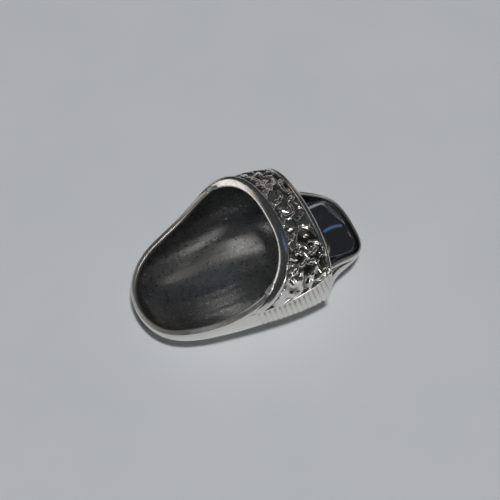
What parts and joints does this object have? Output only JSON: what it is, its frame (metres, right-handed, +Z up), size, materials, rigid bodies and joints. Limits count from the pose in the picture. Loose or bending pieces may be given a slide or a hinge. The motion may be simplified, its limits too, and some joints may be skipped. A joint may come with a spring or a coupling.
{
  "type": "thimble ring",
  "caption": "Open-nail metal thimble: long rounded scoop, carved arched band, ribbed pad grip and short tongue.",
  "frame": {"origin": "middle of the length and width, on the plane the thimble rests on", "axes": "+X along the finger from the long scoop to the short tongue, +Z up out of the nail side"},
  "size_m": [0.0323, 0.021, 0.0159],
  "materials": {
    "shell_plating": "bright nickel plate over a satin casting",
    "band_plating": "bright nickel plate, carved",
    "border_plating": "polished nickel plate",
    "grip_plating": "nickel plate, ribbed"
  },
  "bodies": {
    "root": {"pad_shell": "shell_plating", "ring_band": "band_plating", "front_border": "border_plating", "back_border": "border_plating", "rib_grip": "grip_plating", "tongue_grip": "grip_plating"}
  },
  "joints": []
}
